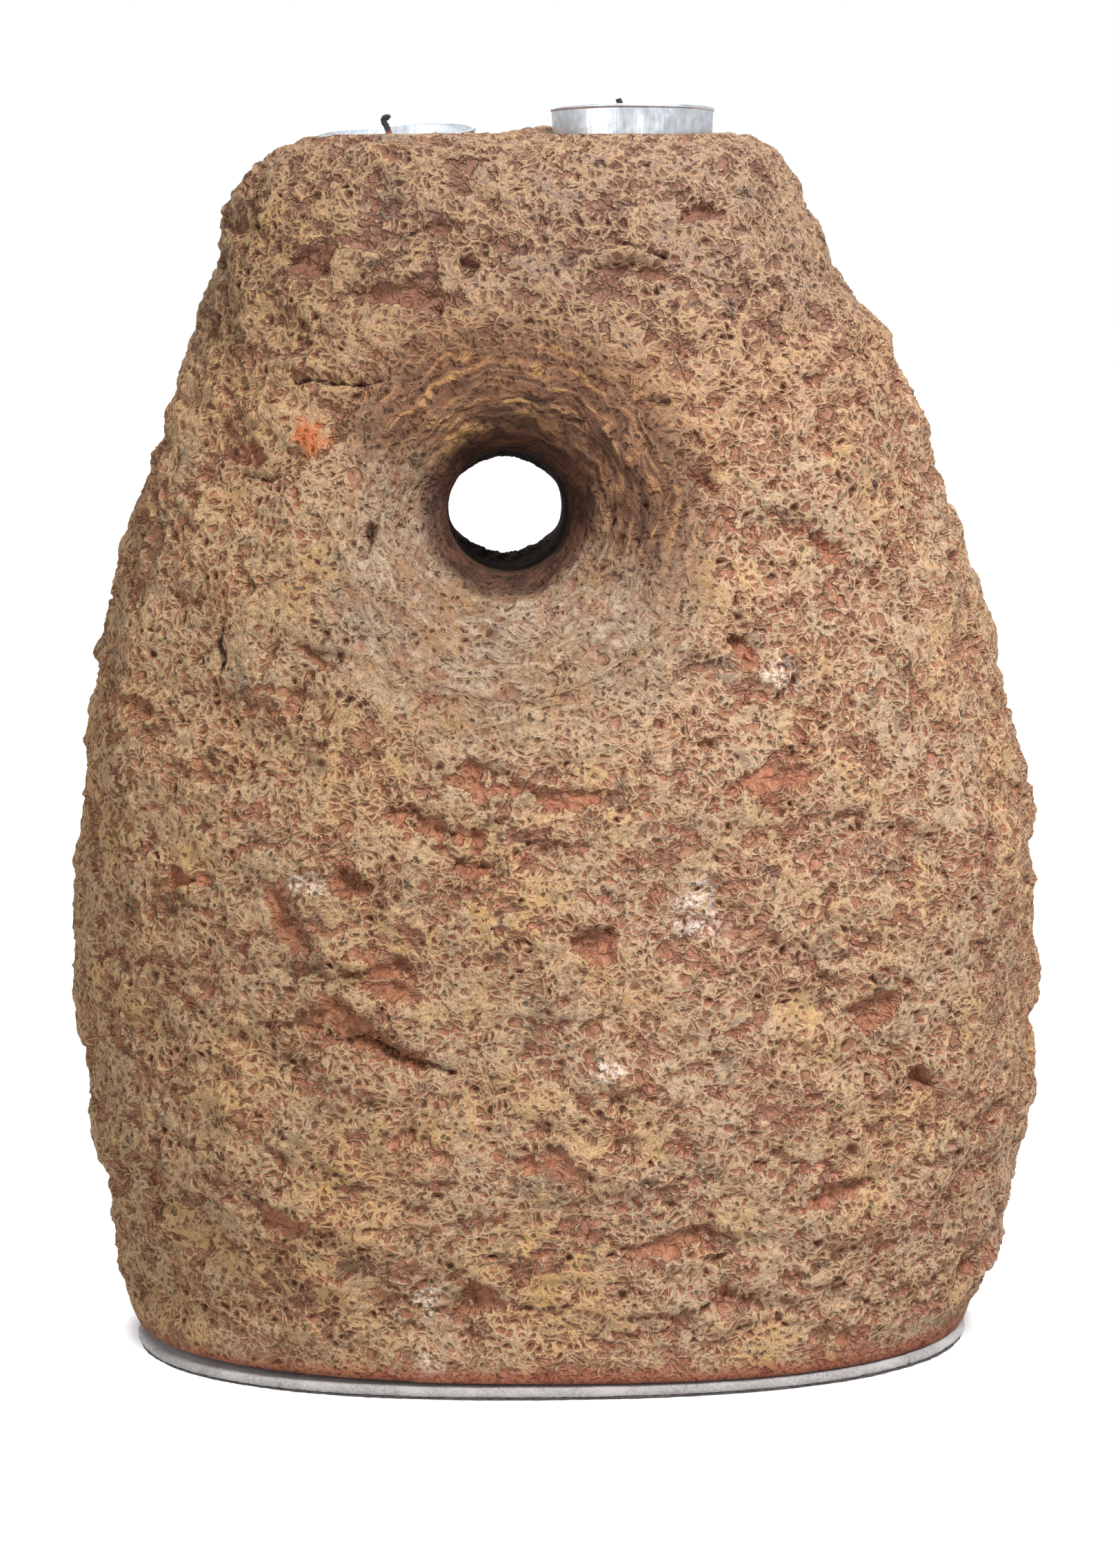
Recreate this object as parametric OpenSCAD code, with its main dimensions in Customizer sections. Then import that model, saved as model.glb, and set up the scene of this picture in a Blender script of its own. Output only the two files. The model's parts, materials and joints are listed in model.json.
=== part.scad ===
// Hand-built ceramic tealight holder shaped like a weathered rock, with one round hole through it.
// Millimetres, +Z up, front towards -Y, origin at the centre of the footprint on the table.

/* [Ceramic body] */
// Width of the body at its belly
body_w = 232; // [225:1:240]
// Depth of the body at its belly
body_d = 150; // [140:1:160]
// Height of the body from the foot to the top deck
body_h = 284.6; // [278:0.2:290]
// Thickness of the clay wall
wall_t = 12; // [9:0.5:13]
// Squareness of the body's cross-section, 2 is an ellipse
squareness = 2.4; // [2:0.1:3]
// How far the left end comes forward and the right end goes back, per unit of width
skew = 0.04; // [0:0.01:0.08]
// Height of the soft lumps in the hand-built surface
lump_h = 0.6; // [0:0.1:2]

/* [Hole through the body] */
// Radius of the hole
hole_r = 14; // [12:0.5:16]
// Radius of the funnel where it meets the front face
front_flare_r = 40; // [34:1:44]
// Radius of the funnel where it meets the back face
back_flare_r = 26; // [20:1:30]

/* [Foot pad] */
// Thickness of the grey felt pad
pad_t = 2.4; // [2:0.1:4]
// Thickness of the dark backing under the felt
backing_t = 0.8; // [0.6:0.1:1.5]
// How far the pad sticks out beyond the foot
pad_margin = 1.2; // [0.6:0.1:4]
// Gap between the foot and the pad at the right end
gap_right = 0.3; // [0.2:0.1:0.6]
// Gap between the foot and the pad at the left end
gap_left = 1.8; // [0.8:0.1:2.6]
// Radius of each dab of glue
dab_r = 4; // [3:0.5:6]

/* [Tealights] */
// Diameter of the cup at its rolled rim
cup_d = 38.5; // [37.5:0.5:39.5]
// Height of the cup
cup_h = 16; // [14:0.5:18]
// Thickness of the cup's foil
foil_t = 0.35; // [0.3:0.05:0.5]
// Height of the wax in the cup
wax_h = 12.5; // [9:0.5:13]
// Diameter of the wick
wick_d = 1.5; // [1.2:0.1:1.8]
// Clearance between the cup's rim and its well
well_clear = 1; // [0.6:0.1:1.5]

/* [Hidden] */
eps = 0.01;

pad_top = backing_t + pad_t;
foot_z = pad_top + gap_right;

// Body sections from the foot up: height share, then the reach to the left, right, front and
// back as shares of half the width or half the depth
body_rows = [
    [0.000, 0.86, 0.85, 0.865, 0.855],
    [0.022, 0.895, 0.88, 0.895, 0.885],
    [0.075, 0.93, 0.935, 0.93, 0.93],
    [0.160, 0.96, 0.985, 0.97, 0.97],
    [0.270, 0.975, 0.995, 1.00, 1.00],
    [0.360, 0.985, 1.00, 1.00, 1.00],
    [0.480, 0.975, 0.985, 0.97, 0.98],
    [0.570, 0.94, 0.925, 0.92, 0.94],
    [0.660, 0.89, 0.84, 0.86, 0.88],
    [0.750, 0.81, 0.75, 0.78, 0.80],
    [0.840, 0.735, 0.665, 0.69, 0.71],
    [0.925, 0.675, 0.53, 0.61, 0.62],
    [0.965, 0.63, 0.485, 0.56, 0.57],
    [0.988, 0.57, 0.455, 0.50, 0.50],
    [1.000, 0.47, 0.405, 0.41, 0.40]
];
outer_steps = 2;
outer_sides = 48;
inner_sides = 32;

// Inner cavity: it stops this high, below the wells
cavity_top = 256;

// The hole's axis: a point near the front face and one near the back face
hole_front = [-10, -62, 204];
hole_back = [-13, 62, 195];
hole_dir = hole_back - hole_front;
hole_len = norm(hole_dir);
hole_turn = [0, acos(hole_dir.z / hole_len), atan2(hole_dir.y, hole_dir.x)];
front_funnel_l = 27;
back_funnel_l = 14;
overshoot = 40;

// Tealights: the middle of each cup's underside, and the tilt about X and Y in degrees
left_seat = [-37, 1, 272.2];
left_tilt = [5, -3.5, 0];
right_seat = [18, -1, 277.6];
right_tilt = [-3.5, 0, 0];

cup_r = cup_d / 2;
rim_h = 1.3;
rim_out = 0.35;
side_r = cup_r - rim_out;
base_r = side_r - 0.5;
well_r = cup_r + well_clear;
well_open = 40;
seat_gap = 0.05;

tab_d = 12;
tab_t = 0.3;
tab_neck_d = 2.6;
tab_neck_h = 4;
wick_hole_r = wick_d / 2;

// ---- Shape functions ----

// Catmull-Rom value at t between b and c
function blend(a, b, c, d, t) =
    0.5 * (2 * b + (c - a) * t + (2 * a - 5 * b + 4 * c - d) * t * t + (3 * b - a - 3 * c + d) * t * t * t);

// Row i of a list, held at its ends
function held(rows, i) = rows[max(0, min(len(rows) - 1, i))];

// Rows with extra rows blended in between
function smooth_rows(rows, steps) = [
    for (i = [0 : (len(rows) - 1) * steps])
        let (k = floor(i / steps), t = i / steps - k)
            blend(held(rows, k - 1), held(rows, k), held(rows, k + 1), held(rows, k + 2), t)
];

// Signed power, which turns a circle into a rounded rectangle
function bend(v) = sign(v) * pow(abs(v), 2 / squareness);

// Slow lumps round and up the surface
function lumps(a, z) =
    lump_h * (sin(3 * a + 2.1 * z) + 0.7 * sin(5 * a - 1.3 * z + 40) + 0.5 * sin(2 * a + 3.7 * z + 110));

// One ring of points round the body, set in from the surface
function ring(row, sides, inset, lumpy, z) = [
    for (i = [0 : sides - 1])
        let (
            a = 360 * i / sides,
            rx = (cos(a) < 0 ? row[1] : row[2]) * body_w / 2 - inset,
            ry = (sin(a) < 0 ? row[3] : row[4]) * body_d / 2 - inset,
            k = 1 + lumpy * lumps(a, z) / (body_w / 2),
            x = k * rx * bend(cos(a)),
            y = k * ry * bend(sin(a))
        )
            [x, y + skew * x, z]
];

// Closed solid through a stack of rings
module loft(rings) {
    n = len(rings[0]);
    m = len(rings);
    points = [for (r = rings) each r];
    walls = [
        for (j = [0 : m - 2], i = [0 : n - 1])
            let (a = j * n + i, b = j * n + (i + 1) % n)
                each [[a, a + n, b + n], [a, b + n, b]]
    ];
    bottom = [[for (i = [0 : n - 1]) i]];
    top = [[for (i = [0 : n - 1]) (m - 1) * n + n - 1 - i]];
    polyhedron(points, concat(walls, bottom, top), convexity = 6);
}

// ---- Placing ----

// Puts its children in the left or right well, standing on the well's floor
module seated(seat, tilt) {
    translate(seat) rotate(tilt) children();
}

// Everything below the plane of the foot, which rises towards the left end
module below_foot(drop) {
    tilt = atan((gap_left - gap_right) / (body_w * 0.86));
    translate([body_w * 0.43, 0, foot_z])
        rotate([0, tilt, 0])
            translate([-1.5 * body_w, -body_d, -drop]) cube([3 * body_w, 2 * body_d, drop]);
}

// Puts its children on the hole's axis, with +Z from front to back
module along_hole() {
    translate(hole_front) rotate(hole_turn) children();
}

// ---- Ceramic body ----

// Bell-mouthed end of the hole: the mouth is at z = 0 and narrows to the hole's radius
module funnel(mouth_r, length) {
    steps = 10;
    curve = [
        for (i = [0 : steps])
            let (a = 90 * i / steps)
                [hole_r + (mouth_r - hole_r) * (1 - sin(a)), length * (1 - cos(a))]
    ];
    rotate_extrude($fn = 64)
        polygon(concat([[0, -overshoot], [mouth_r, -overshoot]], curve, [[0, length]]));
}

module hole_space() {
    along_hole() {
        translate([0, 0, -overshoot]) cylinder(h = hole_len + 2 * overshoot, r = hole_r, $fn = 64);
        funnel(front_flare_r, front_funnel_l);
        translate([0, 0, hole_len]) mirror([0, 0, 1]) funnel(back_flare_r, back_funnel_l);
    }
}

// The clay left round the hole inside the cavity
module hole_jacket() {
    along_hole() {
        translate([0, 0, -overshoot])
            cylinder(h = hole_len + 2 * overshoot, r = hole_r + wall_t, $fn = 48);
        cylinder(h = front_funnel_l + wall_t, r1 = front_flare_r + wall_t, r2 = hole_r + wall_t, $fn = 48);
        translate([0, 0, -overshoot]) cylinder(h = overshoot + eps, r = front_flare_r + wall_t, $fn = 48);
    }
}

module cavity() {
    rows = [for (r = body_rows) if (foot_z + r[0] * body_h < cavity_top) r];
    first = ring(rows[0], inner_sides, wall_t, 0, -eps);
    rings = [for (r = rows) ring(r, inner_sides, wall_t, 0, foot_z + r[0] * body_h)];
    difference() {
        loft(concat([first], rings));
        hole_jacket();
    }
}

module well(seat, tilt) {
    seated(seat, tilt) translate([0, 0, -seat_gap]) cylinder(h = well_open, r = well_r, $fn = 64);
}

module ceramic_body() {
    rows = smooth_rows(body_rows, outer_steps);
    color([0.66, 0.50, 0.37])
        difference() {
            loft([for (r = rows) ring(r, outer_sides, 0, 1, foot_z + r[0] * body_h)]);
            cavity();
            hole_space();
            well(left_seat, left_tilt);
            well(right_seat, right_tilt);
            below_foot(3 * gap_left);
        }
}

// ---- Foot pad ----

// Outline of the foot, grown by a margin
module foot_outline(margin) {
    flat = [for (p = ring(body_rows[0], outer_sides, -margin, 0, 0)) [p.x, p.y]];
    polygon(flat);
}

module felt_pad() {
    color([0.68, 0.67, 0.67])
        translate([0, 0, backing_t]) linear_extrude(pad_t) foot_outline(pad_margin);
}

module pad_backing() {
    color([0.20, 0.19, 0.19])
        linear_extrude(backing_t) foot_outline(pad_margin - 0.4);
}

// Dabs of glue between the felt and the foot, under the wall and out of sight
dab_angles = [20, 65, 115, 160, 200, 245, 295, 340];
dab_inset = wall_t / 2 + 1;

module glue_dabs() {
    row = body_rows[0];
    color([0.17, 0.15, 0.14])
        intersection() {
            below_foot(3 * gap_left);
            for (a = dab_angles) {
                x = ((cos(a) < 0 ? row[1] : row[2]) * body_w / 2 - dab_inset) * bend(cos(a));
                y = (row[3] * body_d / 2 - dab_inset) * bend(sin(a));
                translate([x, y + skew * x, pad_top]) cylinder(h = 2 * gap_left, r = dab_r, $fn = 32);
            }
        }
}

// ---- Tealights, each standing on the origin of its own frame ----

module cup() {
    color([0.77, 0.78, 0.80])
        rotate_extrude($fn = 96)
            polygon([
                [0, 0], [base_r - 1, 0], [base_r, 1], [side_r, cup_h - rim_h], [cup_r, cup_h - rim_h + 0.2],
                [cup_r, cup_h - 0.3], [cup_r - 0.3, cup_h], [side_r - foil_t, cup_h],
                [side_r - foil_t, cup_h - rim_h], [base_r - foil_t, 1 + foil_t / 2],
                [base_r - 1, foil_t], [0, foil_t]
            ]);
}

// Inner radius of the cup at a height above its underside
function cup_inner_r(z) =
    let (share = (z - 1) / (cup_h - rim_h - 1))
        base_r + (side_r - base_r) * share - foil_t;

// Foot of the wick: a stamped disc with a crimped neck
module wick_tab() {
    color([0.72, 0.72, 0.70])
        translate([0, 0, foil_t])
            rotate_extrude($fn = 48)
                polygon([
                    [wick_hole_r, 0], [tab_d / 2, 0], [tab_d / 2, tab_t], [tab_neck_d / 2, tab_t],
                    [tab_neck_d / 2, tab_neck_h], [wick_hole_r, tab_neck_h]
                ]);
}

module wax() {
    low = foil_t;
    color([0.92, 0.91, 0.88])
        rotate_extrude($fn = 96)
            polygon([
                [wick_hole_r, low + tab_neck_h], [tab_neck_d / 2, low + tab_neck_h],
                [tab_neck_d / 2, low + tab_t], [tab_d / 2, low + tab_t], [tab_d / 2, low],
                [base_r - 1.1, low], [cup_inner_r(1.2) - 0.1, 1.2], [cup_inner_r(wax_h) - 0.05, wax_h],
                [cup_inner_r(wax_h) - 1.5, wax_h - 0.4], [wick_hole_r, wax_h - 0.4]
            ]);
}

// Straight wick with a bent tip: the bend turns through an angle towards a compass direction
module wick(stem_h, bend_r, bend_a, towards) {
    color([0.16, 0.12, 0.10]) {
        translate([0, 0, foil_t]) cylinder(h = stem_h - foil_t, r = wick_hole_r, $fn = 24);
        translate([0, 0, stem_h])
            rotate([0, 0, towards])
                translate([bend_r, 0, 0])
                    rotate([90, 0, 180])
                        rotate_extrude(angle = bend_a, $fn = 48)
                            translate([bend_r, 0]) circle(r = wick_hole_r, $fn = 24);
    }
}

module left_cup() { seated(left_seat, left_tilt) cup(); }
module left_wax() { seated(left_seat, left_tilt) wax(); }
module left_wick() { seated(left_seat, left_tilt) wick(18, 1.2, 120, 0); }
module left_wick_tab() { seated(left_seat, left_tilt) wick_tab(); }

module right_cup() { seated(right_seat, right_tilt) cup(); }
module right_wax() { seated(right_seat, right_tilt) wax(); }
module right_wick() { seated(right_seat, right_tilt) wick(15, 5, 35, 180); }
module right_wick_tab() { seated(right_seat, right_tilt) wick_tab(); }

ceramic_body();
felt_pad();
pad_backing();
glue_dabs();
left_cup();
left_wax();
left_wick();
left_wick_tab();
right_cup();
right_wax();
right_wick();
right_wick_tab();
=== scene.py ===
import json
import math
import random

import bmesh
import bpy
import numpy as np
from mathutils import Matrix, Vector, noise


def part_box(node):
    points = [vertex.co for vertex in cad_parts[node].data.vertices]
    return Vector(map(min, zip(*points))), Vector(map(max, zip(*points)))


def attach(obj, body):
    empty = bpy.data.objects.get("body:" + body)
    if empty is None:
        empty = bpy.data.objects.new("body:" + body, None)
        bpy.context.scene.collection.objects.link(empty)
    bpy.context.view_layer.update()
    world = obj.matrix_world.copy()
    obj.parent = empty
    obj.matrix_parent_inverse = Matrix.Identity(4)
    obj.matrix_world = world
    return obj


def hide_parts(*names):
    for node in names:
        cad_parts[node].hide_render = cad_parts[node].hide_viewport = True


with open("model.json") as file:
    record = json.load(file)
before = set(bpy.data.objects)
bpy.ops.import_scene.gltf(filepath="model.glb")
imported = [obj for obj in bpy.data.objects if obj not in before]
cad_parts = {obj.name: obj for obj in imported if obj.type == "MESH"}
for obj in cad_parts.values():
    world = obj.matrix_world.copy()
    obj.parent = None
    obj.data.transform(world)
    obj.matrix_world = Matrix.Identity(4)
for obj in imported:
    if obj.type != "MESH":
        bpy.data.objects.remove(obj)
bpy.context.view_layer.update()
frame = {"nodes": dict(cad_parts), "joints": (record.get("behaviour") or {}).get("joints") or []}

MM = 0.001

# ---- Places taken from the frame, in metres ----

PAD_LOW, PAD_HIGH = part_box("felt_pad")
JOINTS = {joint["name"]: joint for joint in frame["joints"]}

# ---- Sizes of the clay's surface, in millimetres ----

VOXEL = 0.9
SOFTEN_STEPS = 14
# The hole's axis runs from the middle of its front mouth to the middle of its back mouth
FRONT_HOLE = Vector((-10, -62, 204))
BACK_HOLE = Vector((-13, 62, 195))
HOLE_R = 14
WELL_R = 20.25
# How far the hole's axis falls on its way to the back, per millimetre of depth
HOLE_FALL = 0.0726

# ---- Node networks shared by the shader and the geometry ----


class Net:
    """Adds texture and maths nodes to one node tree."""

    def __init__(self, tree):
        self.tree = tree

    def new(self, kind, **props):
        node = self.tree.nodes.new(kind)
        for key, value in props.items():
            setattr(node, key, value)
        return node

    def put(self, socket, value):
        if isinstance(value, bpy.types.NodeSocket):
            self.tree.links.new(value, socket)
        else:
            socket.default_value = value

    def fill(self, node, values, out=0):
        """Sets a node's inputs by name or number, and gives one of its outputs."""
        for key, value in values.items():
            self.put(node.inputs[key], value)
        return node.outputs[out]

    def math(self, op, a, b=0.0):
        return self.fill(self.new("ShaderNodeMath", operation=op), {0: a, 1: b})

    def add(self, *values):
        total = values[0]
        for value in values[1:]:
            total = self.math("ADD", total, value)
        return total

    def sub(self, a, b):
        return self.math("SUBTRACT", a, b)

    def mul(self, a, b):
        return self.math("MULTIPLY", a, b)

    def most(self, a, b):
        return self.math("MAXIMUM", a, b)

    def inv(self, a):
        return self.math("SUBTRACT", 1.0, a)

    def vec(self, op, a, b=(0, 0, 0), scale=None):
        second = {"Scale": scale} if op == "SCALE" else {1: b}
        return self.fill(self.new("ShaderNodeVectorMath", operation=op), {0: a, **second})

    def parts(self, vector):
        node = self.new("ShaderNodeSeparateXYZ")
        self.put(node.inputs[0], vector)
        return node.outputs

    def object_mm(self):
        """Place in the piece's own frame, in millimetres."""
        return self.vec("SCALE", self.new("ShaderNodeTexCoord").outputs["Object"], scale=1000.0)

    def noise(self, p, size, detail=2.0, rough=0.5, colour=False):
        values = {"Vector": p, "Scale": 1.0 / size, "Detail": detail, "Roughness": rough}
        return self.fill(self.new("ShaderNodeTexNoise"), values, "Color" if colour else "Fac")

    def swing(self, fac, amount):
        """Noise with its middle at 0.5, turned into an amount with its middle at 0."""
        return self.mul(self.sub(fac, 0.5), amount)

    def wander(self, p, size, detail, rough, scale):
        """A vector that strays up to half of scale each way, over a noise of this size."""
        stray = self.vec("SUBTRACT", self.noise(p, size, detail, rough, colour=True), (0.5, 0.5, 0.5))
        return self.vec("SCALE", stray, scale=scale)

    def cells(self, p, size, feature="F1"):
        node = self.new("ShaderNodeTexVoronoi", feature=feature)
        return self.fill(node, {"Vector": p, "Scale": 1.0 / size}, "Distance")

    def from_wall(self, p, size):
        """Distance from the nearest wall between cells of this size, in the units of p."""
        return self.mul(self.cells(p, size, "DISTANCE_TO_EDGE"), size)

    def ramp(self, x, low, high, to_low=0.0, to_high=1.0):
        """x eased from to_low, at low, up to to_high, at high."""
        node = self.new("ShaderNodeMapRange", interpolation_type="SMOOTHSTEP")
        values = {"Value": x, "From Min": low, "From Max": high, "To Min": to_low, "To Max": to_high}
        return self.fill(node, values)

    def blend(self, t, a, b):
        return self.fill(self.new("ShaderNodeMix", data_type="FLOAT"), {0: t, 2: a, 3: b})

    def tint(self, t, a, b, mode="MIX"):
        node = self.new("ShaderNodeMix", data_type="RGBA", blend_type=mode)
        return self.fill(node, {0: t, 6: a, 7: b}, 2)

    def shades(self, x, low, high, a, b):
        """Colour a where x is low, b where it is high."""
        return self.tint(self.ramp(x, low, high), a, b)

    def spots(self, x, z, loose, places):
        """1 in the middle of each place (x, z, radius), 0 outside, with a loose edge."""
        total = 0.0
        for at_x, at_z, radius in places:
            away_x, away_z = self.add(x, -at_x), self.add(z, -at_z)
            away = self.math("SQRT", self.add(self.mul(away_x, away_x), self.mul(away_z, away_z)))
            total = self.most(total, self.ramp(self.add(away, loose), radius, 0.4 * radius))
        return total

    def paint(self, shader, colour, roughness):
        self.put(shader.inputs["Base Color"], colour)
        self.put(shader.inputs["Roughness"], roughness)

    def bump(self, shader, height, strength, distance):
        """Bumps a shader's surface. distance is what a height of 1 stands for, in millimetres."""
        values = {"Strength": strength, "Distance": distance * MM, "Height": height}
        self.put(shader.inputs["Normal"], self.fill(self.new("ShaderNodeBump"), values))


def srgb(r, g, b):
    """Linear colour from the 0-255 values of a screen colour."""
    def linear(v):
        v /= 255
        return v / 12.92 if v <= 0.04045 else ((v + 0.055) / 1.055) ** 2.4

    return (linear(r), linear(g), linear(b), 1.0)


def material(name):
    mat = bpy.data.materials.new(name)
    mat.use_nodes = True
    mat.node_tree.nodes.clear()
    net = Net(mat.node_tree)
    shader = net.new("ShaderNodeBsdfPrincipled")
    out = net.new("ShaderNodeOutputMaterial")
    net.put(out.inputs["Surface"], shader.outputs[0])
    return mat, net, shader


def around(count):
    """Each index in a ring with the next one."""
    return [(i, (i + 1) % count) for i in range(count)]


def finish_mesh(name, mesh, mat, smooth=True):
    """Adds a mesh to the scene as a piece with one material."""
    piece = bpy.data.objects.new(name, mesh)
    bpy.context.scene.collection.objects.link(piece)
    mesh.materials.clear()
    mesh.materials.append(mat)
    if smooth:
        mesh.polygons.foreach_set("use_smooth", [True] * len(mesh.polygons))
    return piece


def baked(piece):
    """Applies a piece's modifiers to its mesh."""
    graph = bpy.context.evaluated_depsgraph_get()
    mesh = bpy.data.meshes.new_from_object(piece.evaluated_get(graph), depsgraph=graph)
    mesh.name = piece.name
    piece.modifiers.clear()
    old = piece.data
    piece.data = mesh
    bpy.data.meshes.remove(old)


# ---- Clay surface: one recipe, used for the relief and again for the colours ----


def clay_fields(net, p, flow, gouge, calm):
    """Fields over the rest position p in millimetres. The slip lies on the clay as a net of walls:
    thick walls run together into crust, thin ones leave windows down to the clay. flow runs round
    the hole, gouge is 1 in the dents, calm is 1 where the clay was wiped."""
    shift = net.wander(p, 9.0, 2.0, 0.5, 5.0)
    bent = net.vec("ADD", p, net.vec("ADD", shift, net.wander(p, 1.7, 2.0, 0.6, 1.3)))
    flat = net.vec("MULTIPLY", bent, (1.0, 1.0, 1.4))

    # wide is how far the crust reaches over the big windows, in millimetres
    region = net.sub(net.noise(p, 30.0, 2.0), 0.5)
    limit = net.add(0.432, net.mul(region, 0.2), net.mul(gouge, 0.17), net.mul(calm, -0.12))
    crust = net.mul(net.sub(net.noise(flat, 7.5, 3.0, 0.6), limit), 24.0)
    divide = net.sub(net.ramp(net.noise(p, 6.0, 2.0), 0.42, 0.6, 0.0, 0.42), 0.05)
    divide = net.sub(net.add(divide, net.mul(gouge, -0.4)), net.from_wall(flat, 4.8))
    wide = net.most(crust, divide)

    # fine does the same for the small windows, and streak for the wiped clay round the hole
    wall = net.ramp(net.noise(p, 9.0, 2.0), 0.38, 0.66, 0.2, 0.62)
    lace = net.from_wall(bent, 2.3)
    fine = net.most(net.sub(wall, net.from_wall(flat, 4.2)), net.sub(net.mul(wall, 0.6), lace))
    fine = net.add(fine, net.mul(calm, 0.15))
    streak = net.mul(net.sub(net.noise(flow, 2.6, 3.0, 0.55), net.add(0.2, net.mul(calm, 0.2))), 10.0)
    edge = net.math("MINIMUM", net.math("MINIMUM", wide, fine), streak)

    pore = net.inv(net.ramp(net.cells(bent, 1.9), 0.16, 0.34))
    pore = net.mul(pore, net.mul(net.ramp(net.noise(p, 4.5, 2.0), 0.46, 0.54), net.ramp(edge, -0.1, 0.2)))
    pit = net.mul(net.inv(net.ramp(fine, -0.7, -0.3)), net.ramp(net.noise(p, 5.0, 1.0), 0.46, 0.56))
    return {
        "shift": shift, "bent": bent, "lace": lace, "wide": wide, "fine": fine, "streak": streak,
        "edge": edge, "crust": net.ramp(edge, -0.13, 0.13), "pore": pore,
        "pit": net.mul(pit, net.ramp(wide, 0.0, 0.4)), "fleck": net.noise(p, 1.3, 2.0, 0.55),
    }


def drawn_out(net, flow, shift, amount):
    """Place along the lines that the wiping left round the hole, pushed about by shift."""
    pushed = net.vec("ADD", flow, net.vec("SCALE", shift, scale=amount))
    return net.vec("MULTIPLY", pushed, (1.0, 0.3, 0.3))


def leaning(net, p):
    """Place for a noise whose ledges run down to the right."""
    x, y, z = net.parts(p)[0:3]
    lean = net.new("ShaderNodeCombineXYZ")
    net.put(lean.inputs[0], net.add(net.mul(x, 0.65), net.mul(z, -0.26)))
    net.put(lean.inputs[1], y)
    net.put(lean.inputs[2], net.add(net.mul(x, 0.6), net.mul(z, 1.5)))
    return lean.outputs[0]


def clay_height(net, p, flow, gouge, crack, calm):
    """Relief of the clay in millimetres, outward."""
    f = clay_fields(net, p, flow, gouge, calm)
    lump = net.swing(net.noise(p, 34.0, 2.0), 11.0)
    ledge_h = net.ramp(net.noise(p, 40.0, 1.0), 0.38, 0.6, 3.5, 8.0)
    ledge = net.swing(net.noise(leaning(net, p), 13.0, 3.0, 0.55), ledge_h)
    rough = net.swing(net.noise(p, 3.4, 3.0, 0.6), 1.6)
    folds = net.mul(net.swing(net.noise(drawn_out(net, flow, f["shift"], 2.2), 6.0, 2.0), 6.0), calm)
    wiped = net.add(1.0, net.mul(calm, -0.75))
    body = net.add(net.mul(net.add(lump, ledge, rough), wiped), folds)
    layers = net.add(
        net.mul(net.ramp(f["wide"], -0.7, 0.4), 1.1), net.mul(net.ramp(f["fine"], -0.6, 0.3), 0.6),
        net.mul(net.ramp(f["streak"], -0.6, 0.6), 0.5), net.mul(f["pit"], -1.0),
    )
    lowered = -3.2
    return net.add(body, layers, net.mul(crack, -1.0), lowered)


def clay_relief_tree():
    """Geometry nodes that push the clay out and in by clay_height, where free allows."""
    tree = bpy.data.node_groups.new("clay_relief", "GeometryNodeTree")
    tree.interface.new_socket("Geometry", in_out="INPUT", socket_type="NodeSocketGeometry")
    tree.interface.new_socket("Geometry", in_out="OUTPUT", socket_type="NodeSocketGeometry")
    net = Net(tree)
    source = net.new("NodeGroupInput")
    sink = net.new("NodeGroupOutput")

    def named(name, kind="FLOAT"):
        node = net.new("GeometryNodeInputNamedAttribute", data_type=kind)
        node.inputs["Name"].default_value = name
        return node.outputs["Attribute"]

    p = net.vec("SCALE", net.new("GeometryNodeInputPosition").outputs[0], scale=1000.0)
    flow = named("flow", "FLOAT_VECTOR")
    height = clay_height(net, p, flow, named("gouge"), named("crack"), named("calm"))
    height = net.add(net.mul(height, named("free")), net.mul(named("dent"), -1.0))
    normal = net.new("GeometryNodeInputNormal").outputs[0]
    push = net.vec("SCALE", normal, scale=net.mul(height, MM))
    slide = net.wander(p, 3.5, 1.0, 0.5, net.mul(named("free"), 1.2 * MM))
    move = net.new("GeometryNodeSetPosition")
    net.put(move.inputs["Geometry"], source.outputs[0])
    net.put(move.inputs["Offset"], net.vec("ADD", push, slide))
    net.put(sink.inputs[0], move.outputs[0])
    return tree


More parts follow.
